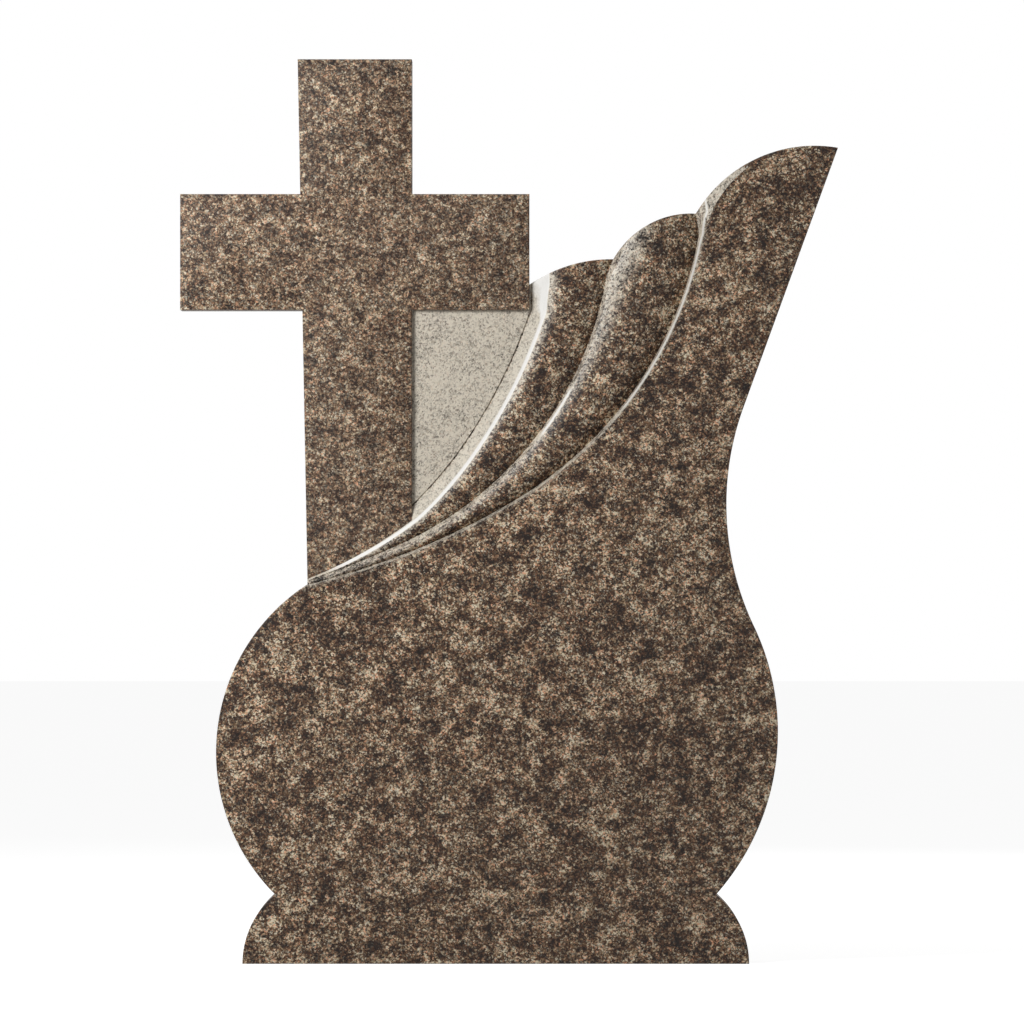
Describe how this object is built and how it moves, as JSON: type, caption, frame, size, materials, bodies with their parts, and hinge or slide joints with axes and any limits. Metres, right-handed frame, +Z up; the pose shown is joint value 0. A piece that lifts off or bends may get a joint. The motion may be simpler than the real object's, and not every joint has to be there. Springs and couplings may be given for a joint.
{
  "type": "cross headstone",
  "caption": "Upright granite headstone: a Latin cross beside a carved wing of overlapping lobes on a round body with a flared foot.",
  "frame": {"origin": "middle of the foot's underside, halfway through the slab's thickness", "axes": "+Z up to the top of the cross, -Y out of the carved front, +X to the viewer's right when facing the front"},
  "size_m": [0.8, 0.1, 1.1],
  "materials": {
    "granite": "polished brown granite, with a dressed panel and dressed bevels"
  },
  "bodies": {
    "root": {"headstone": "granite"}
  },
  "joints": []
}
